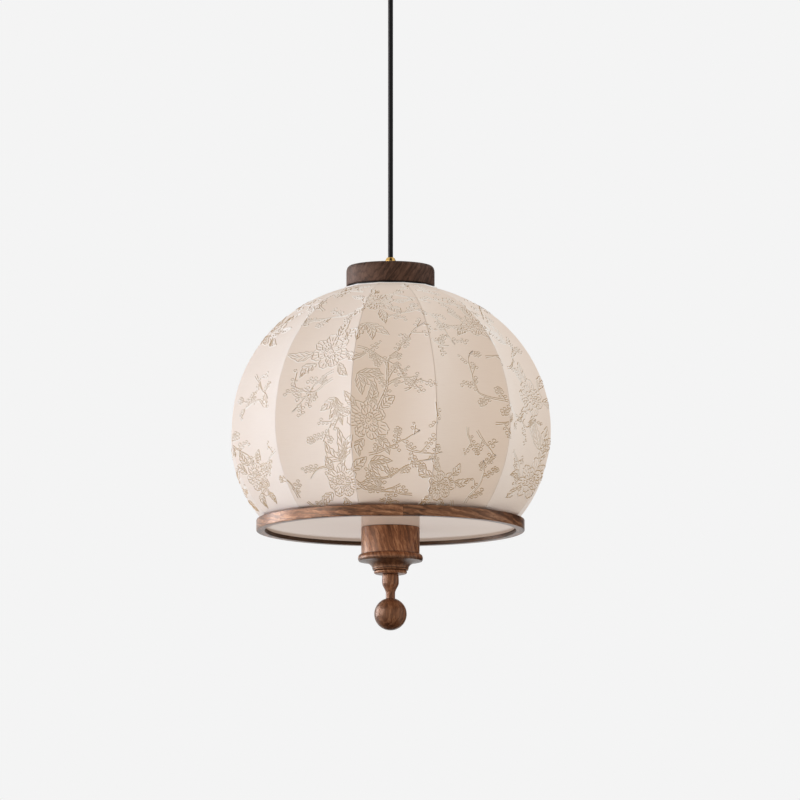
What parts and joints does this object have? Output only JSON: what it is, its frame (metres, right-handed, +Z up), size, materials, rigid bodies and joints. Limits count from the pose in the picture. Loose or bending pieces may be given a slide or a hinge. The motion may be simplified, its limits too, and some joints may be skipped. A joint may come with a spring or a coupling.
{
  "type": "pendant lamp",
  "caption": "Globe pendant lamp: gored fabric shade on a wire frame, turned wooden cap, ring and finial, opal diffuser below, hung on a round cord from a ceiling canopy.",
  "frame": {"origin": "centre of the ceiling bracket's top face, on the ceiling", "axes": "+Z up, the lamp hangs along -Z; -Y is the front that the picture shows, +X to its right"},
  "size_m": [0.3972, 0.3972, 0.8501],
  "materials": {
    "walnut": "oiled walnut, satin",
    "dark_walnut": "dark walnut, satin",
    "fabric": "woven cream fabric with a tan line pattern",
    "brass": "polished",
    "steel": "plain wire and bar",
    "acrylic": "opal white, glossy",
    "cord_jacket": "black jacket, satin",
    "white_plastic": "moulded",
    "bulb_plastic": "frosted white"
  },
  "bodies": {
    "ceiling": {"ceiling_bracket": "steel", "ceiling_canopy": "dark_walnut", "canopy_screw_1": "brass", "canopy_screw_2": "brass", "terminal_block": "white_plastic", "canopy_nut": "steel", "ceiling_grip": "brass", "cord_anchor": "cord_jacket"},
    "cord_link": {"cord_flex": "cord_jacket"},
    "lamp": {"cord": "cord_jacket", "lamp_grip": "brass", "cap": "dark_walnut", "cap_nut": "steel", "stem": "steel", "supply_leads": "cord_jacket", "frame_spider": "steel", "spider_nut": "steel", "frame_rib_01": "steel", "frame_rib_02": "steel", "frame_rib_03": "steel", "frame_rib_04": "steel", "frame_rib_05": "steel", "frame_rib_06": "steel", "frame_rib_07": "steel", "frame_rib_08": "steel", "frame_rib_09": "steel", "frame_rib_10": "steel", "frame_rib_11": "steel", "frame_rib_12": "steel", "frame_hoop": "steel", "shade_panel_01": "fabric", "shade_panel_02": "fabric", "shade_panel_03": "fabric", "shade_panel_04": "fabric", "shade_panel_05": "fabric", "shade_panel_06": "fabric", "shade_panel_07": "fabric", "shade_panel_08": "fabric", "shade_panel_09": "fabric", "shade_panel_10": "fabric", "shade_panel_11": "fabric", "shade_panel_12": "fabric", "walnut_ring": "walnut", "hoop_clip_1": "steel", "hoop_clip_2": "steel", "hoop_clip_3": "steel", "lamp_cluster": "white_plastic", "cluster_nut": "steel", "lampholder_1": "white_plastic", "lampholder_2": "white_plastic", "lampholder_3": "white_plastic"},
    "bulb_1": {"bulb_1": "bulb_plastic"},
    "bulb_2": {"bulb_2": "bulb_plastic"},
    "bulb_3": {"bulb_3": "bulb_plastic"},
    "diffuser_unit": {"diffuser": "acrylic", "column": "walnut"},
    "finial": {"finial": "walnut", "finial_insert": "brass"}
  },
  "joints": [
    {"name": "swing_side", "type": "hinge", "parent": "ceiling", "child": "cord_link", "pos_m": [0, 0, -0.031], "axis": [0, 1, 0], "range_deg": [-20, 20]},
    {"name": "swing_front", "type": "hinge", "parent": "cord_link", "child": "lamp", "pos_m": [0, 0, -0.039], "axis": [1, 0, 0], "range_deg": [-20, 20]},
    {"name": "bulb_1_turn", "type": "hinge", "parent": "lamp", "child": "bulb_1", "pos_m": [0, 0, -0.5597], "axis": [0.7849, -0.4532, -0.4226], "range_deg": [0, 900]},
    {"name": "bulb_2_turn", "type": "hinge", "parent": "lamp", "child": "bulb_2", "pos_m": [0, 0, -0.5597], "axis": [0, 0.9063, -0.4226], "range_deg": [0, 900]},
    {"name": "bulb_3_turn", "type": "hinge", "parent": "lamp", "child": "bulb_3", "pos_m": [0, 0, -0.5597], "axis": [-0.7849, -0.4532, -0.4226], "range_deg": [0, 900]},
    {"name": "diffuser_drop", "type": "slide", "parent": "lamp", "child": "diffuser_unit", "axis": [0, 0, -1], "range_m": [0, 0.012]},
    {"name": "finial_turn", "type": "hinge", "parent": "diffuser_unit", "child": "finial", "pos_m": [0, 0, -0.782], "axis": [0, 0, -1], "range_deg": [0, 4320]}
  ],
  "couplings": [
    {"joint": "finial_turn", "follows": "diffuser_drop", "rad_per_m": 6283.2}
  ]
}
